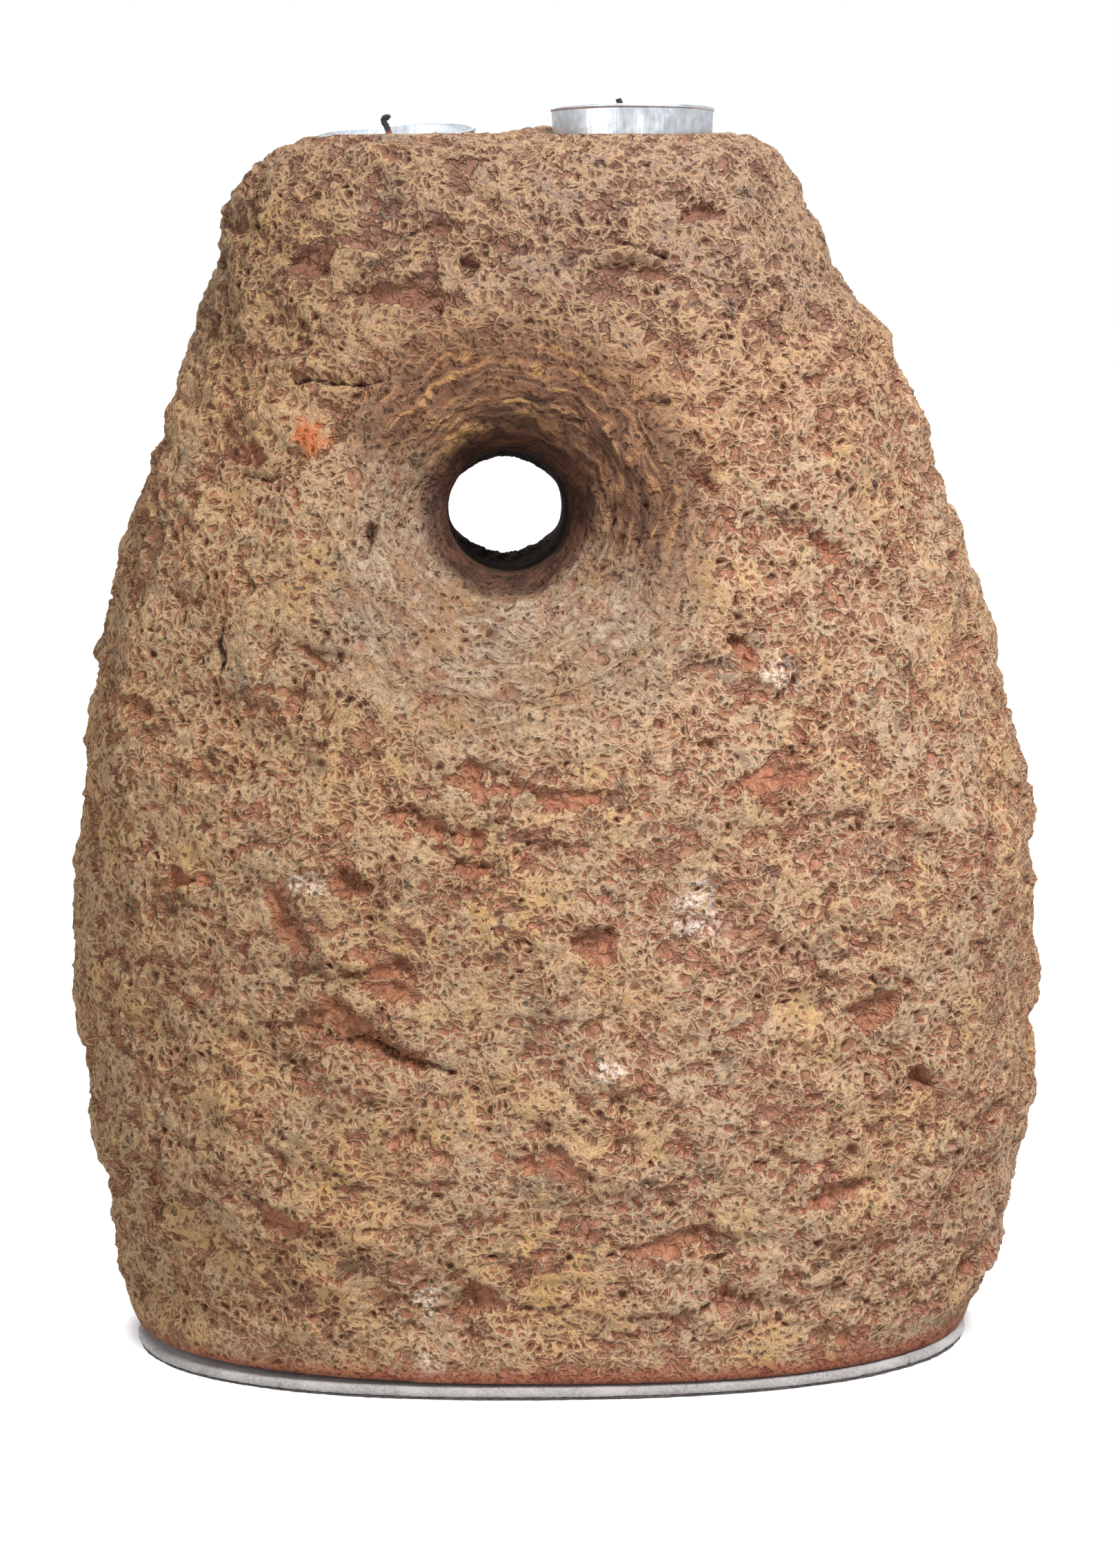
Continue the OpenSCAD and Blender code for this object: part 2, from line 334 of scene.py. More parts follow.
# Dents on the front: name, x, z, width, height, turn in degrees, depth
FRONT_DENTS = [
    ("upper_oval", -40, 101, 15, 8.5, -8, 3.6),
    ("lower_oval", -50, 90, 19, 10, -12, 3.4),
    ("long_fold", -35, 80, 20, 4, -22, 2.0),
    ("slant_gouge", -61, 113, 17, 6, -55, 2.6),
    ("dark_pit", -48, 122.5, 9, 7, -10, 4.2),
    ("hole_slot", -41, 200, 3.6, 9, -22, 5.0),
    ("ridge_pit", -54, 173.5, 10, 5, -15, 2.8),
    ("orange_pit", 44.5, 174.5, 5, 9, 25, 4.0),
    ("red_pit", 11, 109.5, 11, 8, 0, 2.8),
    ("right_oval", 75, 88, 14, 8, 15, 2.6),
    ("right_slit", 87, 71, 8, 4, -30, 4.5),
    ("top_recess", -57, 261, 11, 8, 10, 3.2),
    ("overhang", 19, 259, 15, 5, -6, 3.4),
    ("top_pit", -20.5, 260, 4, 7, 20, 3.4),
    ("long_recess", -37, 253.5, 26, 5, -4, 2.0),
    ("small_pit", -28, 250, 3, 3, 0, 3.0),
    ("right_top_pit", 35, 272, 12, 4, 12, 2.6),
    ("ledge_cave", -72, 218, 9, 6, 0, 3.0),
    ("mid_gouge", 35, 213, 8, 4, -30, 2.6),
    ("right_gouge", 65, 196, 9, 5, -35, 2.2),
    ("foot_gouge", -21, 21.5, 14, 8, 20, 2.8),
    ("left_foot_pit", -96, 38, 5, 6, 0, 3.2),
    ("red_band_a", -14, 147, 20, 7, -12, 2.0),
    ("red_band_b", 4, 142, 16, 6, 4, 1.8),
    ("red_band_c", -33, 137, 18, 5, -18, 2.0),
    ("red_band_d", 51, 146, 22, 6, 8, 1.6),
    ("corner_a", -17, 127, 9, 4, -8, 2.6),
    ("corner_b", -16, 132, 3.5, 10, -5, 2.4),
    ("left_pit", -88, 122, 8, 4, 0, 2.6),
    ("low_red_a", 30, 36, 22, 6, 6, 1.6),
    ("low_red_b", 66, 46, 20, 6, 12, 1.4),
    ("low_red_c", 0, 56, 14, 7, -10, 1.6),
    ("low_red_d", -62, 40, 16, 5, -14, 1.6),
    ("dark_foot", 69, 9, 6, 4, -40, 1.6),
]

# Cracks on the front: half width, depth, then the points (x, z)
FRONT_CRACKS = [
    (0.5, 2.2, [(-66, 233), (-58, 235), (-50, 234), (-44, 234.5), (-37, 236)]),
    (0.5, 1.6, [(-78, 214), (-68, 213), (-60, 215)]),
    (0.6, 2.4, [(-77, 181), (-79, 176), (-78, 172), (-80, 167)]),
    (0.6, 1.6, [(-56, 83), (-44, 84), (-34, 79), (-27, 77)]),
    (0.6, 2.0, [(-104, 60), (-105, 54), (-104, 47)]),
    (0.5, 1.6, [(76, 200), (82, 190), (85, 180)]),
    (0.6, 1.6, [(8, 264), (18, 265), (28, 262), (34, 258)]),
    (0.5, 1.4, [(-17, 126), (-8, 130), (-2, 134)]),
]
# Patches on the front: x, z, radius
OCHRE_SPOTS = [(-62, 262, 24), (-4, 30, 24), (-46, 52, 16), (84, 62, 14), (45, 12, 14), (-10, 118, 16)]
LIME_SPOTS = [(32, 115, 8), (-29, 22, 4.5), (12, 78, 4), (-55, 122, 4), (-28, 8, 4), (50, 168, 6)]
RUST_SPOTS = [(-55, 220, 4.5)]
# Dents and cracks placed at random elsewhere
OTHER_DENTS = 120
OTHER_CRACKS = 26
SEED = 11


def smoothstep(x):
    x = np.clip(x, 0.0, 1.0)
    return x * x * (3 - 2 * x)


class Carver:
    """Dents and cracks, kept as numbers on the vertices of the clay."""

    def __init__(self, points, normals):
        self.p = points
        self.n = normals
        self.dent = np.zeros(len(points))
        self.gouge = np.zeros(len(points))
        self.crack = np.zeros(len(points))

    def nearest(self, place):
        return int(np.argmin(((self.p - place) ** 2).sum(1)))

    def on_front(self, x, z):
        near = (np.abs(self.p[:, 0] - x) < 2) & (np.abs(self.p[:, 2] - z) < 2)
        front = np.where(near)[0]
        return int(front[np.argmin(self.p[front, 1])]) if len(front) else self.nearest((x, -60, z))

    def patch(self, index, reach):
        """Vertices near one of them, with their place across and up from it."""
        centre, normal = self.p[index], self.n[index]
        across = np.cross((0.0, 0.0, 1.0), normal)
        across /= max(np.linalg.norm(across), 1e-6)
        up = np.cross(normal, across)
        away = self.p - centre
        near = np.where((np.abs(away).max(1) < reach) & (self.n @ normal > 0.2))[0]
        return near, away[near] @ across, away[near] @ up

    def press(self, index, width, height, turn, depth, bare=1.0):
        """An oval dent with a steep upper edge and a gentle lower one. bare is how far the slip is
        knocked off inside it."""
        near, x, y = self.patch(index, max(width, height) * 1.2)
        c, s = math.cos(math.radians(turn)), math.sin(math.radians(turn))
        u = (x * c + y * s) / (width / 2)
        v = (-x * s + y * c) / (height / 2)
        a = np.arctan2(v, u)
        wobble = 0.16 * np.sin(3 * a + index) + 0.08 * np.sin(7 * a + 2 * index)
        r = np.sqrt(u * u + v * v) * (1 + wobble)
        steep = np.where(v > 0, 0.35, 0.8)
        f = smoothstep((1.1 - r) / steep)
        self.dent[near] = np.maximum(self.dent[near], f * depth * 0.72)
        self.gouge[near] = np.maximum(self.gouge[near], bare * smoothstep((1.15 - r) / 0.35))

    def slit(self, places, half_width, depth):
        """A crack along a line of places, thin at its ends."""
        total = len(places) - 1
        for k in range(total):
            a, b = np.array(places[k]), np.array(places[k + 1])
            span = b - a
            t = np.clip(((self.p - a) @ span) / max(span @ span, 1e-6), 0, 1)
            away = np.linalg.norm(self.p - (a + t[:, None] * span), axis=1)
            along = (k + t) / total
            thin = np.clip(np.minimum(along, 1 - along) * 6, 0.25, 1)
            f = smoothstep(1.3 - away / (half_width * thin * 1.6)) * depth * thin
            self.crack = np.maximum(self.crack, f)


def clay_base():
    """The outside of the CAD body as a finely remeshed piece."""
    mesh = frame["nodes"]["ceramic_body"].data.copy()
    plug_foot(mesh)
    piece = finish_mesh("clay_base", mesh, bpy.data.materials.new("none"), smooth=False)
    remesh = piece.modifiers.new("remesh", "REMESH")
    remesh.mode = "VOXEL"
    remesh.voxel_size = VOXEL * MM
    soften = piece.modifiers.new("soften", "SMOOTH")
    soften.factor = 0.5
    soften.iterations = SOFTEN_STEPS
    baked(piece)
    return piece


def plug_foot(mesh):
    """Closes the hollow body with a slab inside its foot, so only its outside is kept."""
    bm = bmesh.new()
    bm.from_mesh(mesh)
    sides, low, high = 48, 6.6, 10.0
    half_w, half_d, squareness = 92, 57, 0.83
    rings = []
    for z in (low, high):
        ring = []
        for i in range(sides):
            a = 2 * math.pi * i / sides
            x = half_w * math.copysign(abs(math.cos(a)) ** squareness, math.cos(a))
            y = half_d * math.copysign(abs(math.sin(a)) ** squareness, math.sin(a))
            ring.append(bm.verts.new((x * MM, y * MM, z * MM)))
        rings.append(ring)
    bm.faces.new(rings[0][::-1])
    bm.faces.new(rings[1])
    for i, j in around(sides):
        bm.faces.new((rings[0][i], rings[0][j], rings[1][j], rings[1][i]))
    bm.to_mesh(mesh)
    bm.free()


def read_vectors(mesh, what):
    values = np.zeros(len(mesh.vertices) * 3)
    if what == "co":
        mesh.vertices.foreach_get("co", values)
    else:
        mesh.vertex_normals.foreach_get("vector", values)
    return values.reshape(-1, 3)


def store(mesh, name, values, kind="FLOAT"):
    attribute = mesh.attributes.new(name, kind, "POINT")
    attribute.data.foreach_set("vector" if kind == "FLOAT_VECTOR" else "value", np.ravel(values))


def seat_axis(side):
    """A point on a tealight's axis and the axis's direction, in millimetres."""
    low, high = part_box(side + "_wick_tab")
    return np.array((low + high) / 2) / MM, np.array(JOINTS[side + "_tealight_lift"]["axis"])


def off_axis(p, point, axis):
    """Distance of each point from a line, and how far along it each lies."""
    away = p - point
    along = away @ axis
    return np.linalg.norm(away - along[:, None] * axis, axis=1), along


def flare_foot(p):
    """Moves the clay's lowest edge out to the pad, and down to it at the right."""
    flare = smoothstep((9 - p[:, 2]) / 6)
    p[:, 0] *= 1 + 0.006 * flare
    p[:, 1] *= 1 + 0.025 * flare
    p[:, 2] -= 0.6 * flare * smoothstep((p[:, 0] + 90) / 80)


def wiped_clay(p, hole_d):
    """1 where the clay was wiped smooth round the hole, further out below the front mouth."""
    low_side = smoothstep((FRONT_HOLE.z - p[:, 2] + 10) / 40)
    reach = 46 + 16 * low_side
    front = p[:, 1] < 0
    return np.where(front, smoothstep((reach - hole_d) / 22), smoothstep((30 - hole_d) / 10))


def press_others(carver, calm, rng):
    """Dents at random places, off the wiped clay, the deck and the foot, and small on the front."""
    p, n = carver.p, carver.n
    placed = 0
    while placed < OTHER_DENTS:
        i = rng.randrange(len(p))
        size = rng.uniform(4, 17)
        shape = (size, size * rng.uniform(0.35, 0.6), rng.uniform(-25, 25), rng.uniform(1.0, 2.8))
        facing = p[i, 1] < -20 and abs(p[i, 0]) < 95
        outside = not 14 <= p[i, 2] <= 278 or abs(n[i, 2]) > 0.7
        if calm[i] > 0.05 or outside or (facing and size > 9):
            continue
        carver.press(i, *shape, bare=0.45)
        placed += 1


def slit_others(carver, calm, rng):
    """Cracks at random places on the ends and the back."""
    p, n = carver.p, carver.n
    placed = 0
    while placed < OTHER_CRACKS:
        i = rng.randrange(len(p))
        if p[i, 1] < -10 or calm[i] > 0.05 or not 20 < p[i, 2] < 270 or abs(n[i, 2]) > 0.6:
            continue
        across = np.cross((0.0, 0.0, 1.0), n[i])
        across /= np.linalg.norm(across)
        places = [p[i]]
        for _ in range(3):
            step = across * rng.uniform(4, 8) + np.array((0, 0, rng.uniform(-3, 3)))
            places.append(p[carver.nearest(places[-1] + step)])
        carver.slit(places, rng.uniform(0.6, 1.0), rng.uniform(1.2, 2.4))
        placed += 1


def free_clay(p, hole_d):
    """1 where the relief may move the clay, 0 in the wells and at the foot, and little in the bore."""
    free = np.ones(len(p))
    for side in ("left", "right"):
        d, along = off_axis(p, *seat_axis(side))
        by_well = (along > -6) & (along < 24)
        free = np.where(by_well, np.minimum(free, smoothstep((d - WELL_R - 0.2) / 4)), free)
    free = np.minimum(free, 0.1 + 0.9 * smoothstep((hole_d - HOLE_R - 0.5) / 7))
    return np.minimum(free, smoothstep((p[:, 2] - 8.5) / 8))


def bore_sill(p, hole_d, hole_t):
    """Ragged clay that stands into the back half of the bore, in millimetres."""
    inside = smoothstep((HOLE_R + 5 - hole_d) / 4) * smoothstep((hole_t - 74) / 22)
    rag = 1 + 0.5 * np.sin(0.9 * p[:, 0] + 0.4 * p[:, 1]) * np.sin(0.5 * p[:, 0] - 0.7 * p[:, 1])
    up = (p[:, 2] - FRONT_HOLE.z + HOLE_FALL * (p[:, 1] - FRONT_HOLE.y)) / HOLE_R
    return inside * rag * (1.9 * smoothstep((-up - 0.2) / 0.8) + 1.3 * smoothstep((up - 0.3) / 0.7))


def clay_masks(mesh):
    """Flares the foot and stores on the vertices what the relief and the colours read."""
    p = read_vectors(mesh, "co") / MM
    n = read_vectors(mesh, "normal")
    flare_foot(p)
    mesh.vertices.foreach_set("co", np.ravel(p) * MM)
    hole_axis = np.array((BACK_HOLE - FRONT_HOLE).normalized())
    hole_d, hole_t = off_axis(p, np.array(FRONT_HOLE), hole_axis)
    calm = wiped_clay(p, hole_d)
    free = free_clay(p, hole_d)

    carver = Carver(p, n)
    for _, x, z, width, height, turn, depth in FRONT_DENTS:
        carver.press(carver.on_front(x, z), width, height, turn, depth)
    for half_width, depth, points in FRONT_CRACKS:
        carver.slit([p[carver.on_front(x, z)] for x, z in points], half_width, depth)
    rng = random.Random(SEED)
    press_others(carver, calm, rng)
    slit_others(carver, calm, rng)

    away = p - np.array(FRONT_HOLE)
    turn = np.arctan2(away[:, 2], away[:, 0])
    flow = np.stack([hole_d, 11 * np.cos(turn), 11 * np.sin(turn) + 0.3 * p[:, 1]], axis=1)
    above_foot = smoothstep((p[:, 2] - 6) / 6)
    dent = carver.dent * above_foot * (free > 0.02) - bore_sill(p, hole_d, hole_t)
    # bore: the mask for the painted shade inside the hole
    bore = smoothstep((HOLE_R + 7 - hole_d) / 4.5)
    store(mesh, "rest", read_vectors(mesh, "co"), "FLOAT_VECTOR")
    store(mesh, "flow", flow, "FLOAT_VECTOR")
    for name, values in (
        ("gouge", carver.gouge), ("crack", carver.crack), ("dent", dent), ("calm", calm),
        ("free", free), ("bore", bore),
    ):
        store(mesh, name, values)


def clay_textures(net):
    """clay_fields and the finer textures that only the colours use."""
    def named(name, out="Fac"):
        return net.new("ShaderNodeAttribute", attribute_name=name).outputs[out]

    p = net.vec("SCALE", named("rest", "Vector"), scale=1000.0)
    flow, gouge, calm = named("flow", "Vector"), named("gouge"), named("calm")
    f = clay_fields(net, p, flow, gouge, calm)
    x, y, z = net.parts(p)[0:3]
    tone = net.noise(f["bent"], 6.0, 4.0, 0.6)
    speck = net.noise(p, 1.7, 3.0, 0.6)
    f.update({
        "p": p, "x": x, "z": z, "gouge": gouge, "calm": calm, "crack": named("crack"),
        "bore": named("bore"), "off_hole": net.parts(flow)[0], "front": net.inv(net.ramp(y, -20.0, 0.0)),
        "high": net.ramp(z, 205.0, 250.0), "tone": tone, "speck": speck, "loose": net.swing(tone, 40.0),
        "hair": net.noise(drawn_out(net, flow, f["shift"], 1.6), 1.5, 3.0, 0.6),
        "grain": net.noise(p, 0.45, 2.0, 0.6), "patch": net.noise(p, 20.0, 3.0, 0.55),
        "laced": net.mul(net.inv(net.ramp(f["lace"], 0.04, 0.12)), net.ramp(speck, 0.44, 0.56)),
    })
    return f


def floor_colour(net, f):
    """Red clay seen through the windows, under a thin broken film of slip, with painted shade in the
    small windows.
    """
    fleck, speck, gouge = f["fleck"], f["speck"], f["gouge"]
    broken = net.ramp(net.noise(f["p"], 3.1, 3.0, 0.6), 0.4, 0.58)
    floor = net.shades(f["tone"], 0.4, 0.6, srgb(140, 88, 66), srgb(168, 110, 86))
    floor = net.tint(net.mul(net.ramp(fleck, 0.48, 0.66), 0.6), floor, srgb(184, 138, 114))
    floor = net.tint(net.mul(net.inv(net.ramp(fleck, 0.34, 0.46)), 0.5), floor, srgb(100, 60, 44))
    floor = net.tint(net.mul(f["laced"], 0.7), floor, srgb(206, 172, 148))
    bare = net.shades(speck, 0.4, 0.6, srgb(148, 92, 68), srgb(172, 118, 90))
    floor = net.tint(net.mul(gouge, 0.7), floor, bare)
    film = net.mul(broken, net.add(0.62, net.mul(gouge, -0.4)))
    floor = net.tint(film, floor, srgb(158, 122, 96))
    # painted shade: the floor of the small windows in the crust darkened towards dark brown
    small_window_shade = net.mul(net.ramp(f["wide"], -0.1, 0.1), net.inv(net.ramp(f["fine"], -0.45, 0.0)))
    floor = net.tint(net.mul(small_window_shade, 0.6), floor, srgb(134, 96, 70))
    return net.tint(net.mul(f["high"], 0.4), floor, srgb(154, 112, 84))


def crust_colour(net, f):
    """Tan slip with grey and ochre patches and a pale edge, rosier near the top. The pale edge is partly
    the slip's own colour and partly a painted highlight.
    """
    patch, tone, high = f["patch"], f["tone"], f["high"]
    crust = net.shades(f["fleck"], 0.36, 0.62, srgb(134, 106, 81), srgb(174, 146, 117))
    grey = net.mul(net.ramp(patch, 0.4, 0.5, 1.0, 0.0), net.ramp(f["speck"], 0.4, 0.6))
    crust = net.tint(net.mul(grey, 0.5), crust, srgb(162, 144, 127))
    near = net.mul(net.spots(f["x"], f["z"], f["loose"], OCHRE_SPOTS), f["front"])
    ochre = net.mul(net.most(net.ramp(patch, 0.5, 0.62), near), net.ramp(tone, 0.34, 0.54))
    crust = net.tint(net.mul(ochre, net.add(0.55, net.mul(near, 0.35))), crust, srgb(182, 144, 92))
    rosy = net.mul(high, net.inv(near))
    crust = net.tint(net.mul(rosy, 0.55), crust, srgb(158, 124, 102))
    # pale edge round the windows: partly the slip's own colour, partly a painted highlight
    rim = net.mul(net.ramp(f["edge"], -0.02, 0.08), net.inv(net.ramp(f["edge"], 0.16, 0.4)))
    pale_edge_and_highlight = net.tint(high, srgb(194, 166, 132), srgb(206, 170, 118))
    return net.tint(net.mul(rim, net.add(0.5, net.mul(high, 0.15))), crust, pale_edge_and_highlight)


def stained(net, f, colour):
    """Adds the white lime, the rust and the dark soot, then paints shade on the left side and on the top.
    """
    x, z, speck, front = f["x"], f["z"], f["speck"], f["front"]
    lime = net.mul(net.spots(x, z, net.mul(f["loose"], 0.4), LIME_SPOTS), front)
    elsewhere = net.mul(net.ramp(net.noise(f["p"], 26.0, 1.0), 0.68, 0.76), net.inv(front))
    broken = net.ramp(net.add(speck, net.mul(f["fleck"], 0.5)), 0.66, 0.84)
    lime = net.mul(net.most(lime, elsewhere), broken)
    colour = net.tint(net.mul(lime, 0.75), colour, srgb(222, 204, 190))
    rust = net.mul(net.spots(x, z, net.mul(f["loose"], 0.3), RUST_SPOTS), front)
    colour = net.tint(net.mul(rust, 0.8), colour, srgb(196, 108, 60))
    soot = net.mul(net.ramp(net.noise(f["p"], 11.0, 3.0), 0.6, 0.68), net.ramp(speck, 0.4, 0.55))
    colour = net.tint(net.mul(soot, 0.5), colour, srgb(98, 84, 74))
    # painted shade: darker and warmer towards the left side
    left = net.shades(x, -110.0, 50.0, srgb(230, 225, 212), srgb(255, 253, 253))
    colour = net.tint(0.9, colour, left, "MULTIPLY")
    # painted shade: the top darkened and cooled, in two steps
    colour = net.tint(net.ramp(z, 190.0, 262.0), colour, srgb(238, 236, 242), "MULTIPLY")
    return net.tint(net.ramp(z, 228.0, 258.0), colour, srgb(236, 243, 255), "MULTIPLY")


def wiped_colour(net, f, colour):
    """Grey-brown streaks round the hole, dark red-brown above it that is partly the clay's colour and
    partly painted shade, and painted shade darkening the bore.
    """
    hair, speck = f["hair"], f["speck"]
    streaky = net.ramp(hair, 0.38, 0.62)
    wiped = net.tint(streaky, srgb(102, 82, 66), srgb(166, 152, 134))
    wiped = net.tint(net.mul(net.ramp(f["tone"], 0.46, 0.6), 0.6), wiped, srgb(120, 74, 54))
    wiped = net.tint(net.mul(net.ramp(speck, 0.54, 0.64), 0.6), wiped, srgb(88, 76, 68))
    colour = net.tint(net.mul(f["calm"], 0.5), colour, wiped)
    # above the hole: dark red-brown, partly the clay's colour and partly painted shade under the hole's
    # upper lip
    above = net.ramp(net.add(f["z"], net.mul(f["x"], 0.45)), 188.0, 212.0)
    over = net.mul(net.ramp(f["off_hole"], 52.0, 34.0), above)
    colour = net.tint(net.mul(over, 0.82), colour, net.tint(streaky, srgb(70, 43, 32), srgb(118, 78, 54)))
    veins = net.mul(net.mul(over, net.ramp(hair, 0.56, 0.64)), net.ramp(speck, 0.4, 0.5))
    colour = net.tint(net.mul(veins, 0.6), colour, srgb(172, 132, 84))
    # painted shade: the inside of the hole darkened
    inside = net.tint(streaky, srgb(54, 34, 28), srgb(86, 52, 38))
    return net.tint(net.mul(f["bore"], 0.9), colour, inside)


def clay_material():
    mat, net, shader = material("chamotte_clay")
    f = clay_textures(net)
    fleck, speck, grain, holes = f["fleck"], f["speck"], f["grain"], (f["pit"], f["pore"])
    colour = net.tint(f["crust"], floor_colour(net, f), crust_colour(net, f))
    colour = wiped_colour(net, f, stained(net, f, colour))
    foot = net.inv(net.ramp(net.add(f["z"], net.mul(f["tone"], 6.0)), 8.0, 12.5))
    colour = net.tint(net.mul(foot, 0.85), colour, srgb(136, 75, 55))
    # painted shade: cracks, pits and pores darkened towards dark brown
    crack_shade = net.ramp(net.add(f["crack"], net.swing(fleck, 2.0), net.swing(speck, 4.0)), 1.1, 1.8)
    dark = net.most(net.mul(net.most(*holes), 0.7), net.mul(crack_shade, 0.85))
    colour = net.tint(dark, colour, srgb(66, 40, 30))
    bright = net.new("ShaderNodeHueSaturation")
    net.put(bright.inputs["Color"], colour)
    net.put(bright.inputs["Value"], net.ramp(grain, 0.32, 0.68, 0.86, 1.14))
    net.paint(shader, bright.outputs[0], net.ramp(grain, 0.3, 0.7, 0.82, 0.97))
    shader.inputs["Specular IOR Level"].default_value = 0.2
    net.bump(shader, net.add(
        net.mul(net.ramp(f["wide"], -0.5, 0.2), 0.75), net.mul(net.ramp(f["fine"], -0.5, 0.2), 0.6),
        net.mul(net.mul(f["hair"], f["calm"]), 1.2), net.mul(net.add(*holes), -0.8),
        net.mul(f["laced"], 0.12), net.mul(grain, 0.1), net.mul(fleck, 0.5), net.mul(speck, 0.7),
    ), 1.0, 1.0)
    return mat


def clay_body():
    piece = clay_base()
    clay_masks(piece.data)
    relief = piece.modifiers.new("relief", "NODES")
    relief.node_group = clay_relief_tree()
    baked(piece)
    piece.name = "rock_body"
    mesh = piece.data
    mesh.materials.clear()
    mesh.materials.append(clay_material())
    mesh.polygons.foreach_set("use_smooth", [True] * len(mesh.polygons))
    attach(piece, "holder")
    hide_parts("ceramic_body")


# ---- Tealights ----


def seat_frame(side):
    """Matrix from a cup's own frame, in metres, to the row frame: +Z up its axis, +X to the right."""
    axis = Vector(JOINTS[side + "_tealight_lift"]["axis"]).normalized()
    points = read_vectors(frame["nodes"][side + "_cup"].data, "co")
    height = points @ np.array(axis)
    base = points[height < height.min() + 0.01 * MM]
    right = Vector((1, 0, 0))
    right = (right - axis * right.dot(axis)).normalized()
    turn = Matrix((right, axis.cross(right), axis)).transposed().to_4x4()
    return Matrix.Translation(Vector(base.mean(0))) @ turn


def lathe(name, profile, sides, push=None):
    """Closed mesh turned from (radius, height) points in millimetres. push gives how far a point
    moves outward and upward, from its angle, radius, height and place in the profile."""
    verts, faces, rings = [], [], []
    for k, (r, z) in enumerate(profile):
        if r < 1e-6:
            rings.append([len(verts)] * sides)
            verts.append((0, 0, z * MM))
            continue
        rings.append(range(len(verts), len(verts) + sides))
        for i in range(sides):
            a = 2 * math.pi * i / sides
            out, up = push(a, r, z, k) if push else (0, 0)
            verts.append(((r + out) * math.cos(a) * MM, (r + out) * math.sin(a) * MM, (z + up) * MM))
    for low, high in zip(rings, rings[1:]):
        for i, j in around(sides):
            face = [low[i], low[j], high[j], high[i]]
            face = [v for n, v in enumerate(face) if v != face[n - 1]]
            if len(face) > 2:
                faces.append(face)
    mesh = bpy.data.meshes.new(name)
    mesh.from_pydata(verts, [], faces)
    mesh.validate()
    return mesh


def arc(x, z, r, start, end, steps):
    """Points on an arc in the profile plane, angles in degrees."""
    turns = [math.radians(start + (end - start) * i / steps) for i in range(steps + 1)]
    return [(x + r * math.cos(a), z + r * math.sin(a)) for a in turns]


# Sizes of a tealight, in millimetres
CUP_H = 16.0
SIDE_R = 18.9
FOOT_R = 18.4
RIM_R = 0.42
FOIL = 0.25
WAX_H = 12.5
WICK_R = 0.68


def cup_profile():
    """From the middle of the underside, up the outside, over the rolled rim, down to the floor."""
    rim_z = CUP_H - RIM_R
    out = [(0, 0.5), (11, 0.5), (12, 0.1), (16.4, 0.1)] + arc(FOOT_R - 0.9, 0.9, 0.9, -90, 0, 5)
    wall = 14
    for i in range(1, wall + 1):
        t = i / wall
        out.append((FOOT_R + (SIDE_R - FOOT_R) * t, 0.9 + (rim_z - RIM_R - 1.1) * t))
    out += arc(SIDE_R - 0.05, rim_z, RIM_R, -80, 190, 10)
    inner = SIDE_R - FOIL - RIM_R * 0.6
    for i in range(1, 8):
        t = i / 7
        out.append((inner + (FOOT_R - FOIL - inner) * t, rim_z - 0.3 - (rim_z - 2.0) * t))
    return out + [(FOOT_R - 1.2, 0.6), (11, 0.8), (0, 0.8)]


def cup_mesh(name, seed):
    def push(a, r, z, k):
        if r < FOOT_R - 1:
            return 0, 0
        at = Vector((math.cos(a) * 9 + seed, math.sin(a) * 9, z * 0.22))
        pleat = noise.noise(Vector((math.cos(a) * 60, math.sin(a) * 60, z * 0.1 + seed)))
        share = min(1, z / 4) * (1 if z < CUP_H - 1.2 else 0.25)
        dent = noise.noise(at * 0.35)
        rim = 0.12 * noise.noise(Vector((math.cos(a) * 1.5, math.sin(a) * 1.5, seed)))
        return (0.03 * pleat + 0.1 * dent) * share, rim if z > CUP_H - 1.4 else 0

    return lathe(name, cup_profile(), 420, push)


def wax_mesh(name, seed):
    """Wax that has burned down a little: a hollowed top with a soft lip."""
    def push(a, r, z, k):
        if z < WAX_H - 2.2:
            return 0, 0
        at = Vector((math.cos(a) * r * 0.16 + seed, math.sin(a) * r * 0.16, 0))
        return 0, 0.28 * noise.noise(at) + 0.1 * noise.noise(at * 3.1)

    top = WAX_H
    profile = [(0, 0.85), (10, 0.85), (FOOT_R - 1.3, 0.85), (FOOT_R - 0.45, 1.8)]
    profile += [(SIDE_R - 0.55, top - 0.5), (SIDE_R - 0.75, top), (SIDE_R - 1.3, top + 0.12)]
    profile.append((SIDE_R - 2.4, top - 0.25))
    for i in range(1, 14):
        t = i / 13
        r = (SIDE_R - 2.4) * (1 - t) + 0.9 * t
        profile.append((r, top - 0.25 - 1.1 * math.sin(t * 1.5) ** 1.5))
    profile.append((0.0, profile[-1][1]))
    return lathe(name, profile, 96, push)


def catmull_rom(a, b, c, d, t):
    """Place between b and c on the smooth curve through four points."""
    return 0.5 * (2 * b + (c - a) * t + (2 * a - 5 * b + 4 * c - d) * t * t
                  + (3 * b - a - 3 * c + d) * t ** 3)


def curve_points(points, steps):
    """Smooth points through a given path."""
    out = []
    path = [Vector(p) for p in points]
    for i in range(len(path) - 1):
        a, b = path[max(i - 1, 0)], path[i]
        c, d = path[i + 1], path[min(i + 2, len(path) - 1)]
        out += [catmull_rom(a, b, c, d, k / steps) for k in range(steps)]
    out.append(path[-1])
    return out


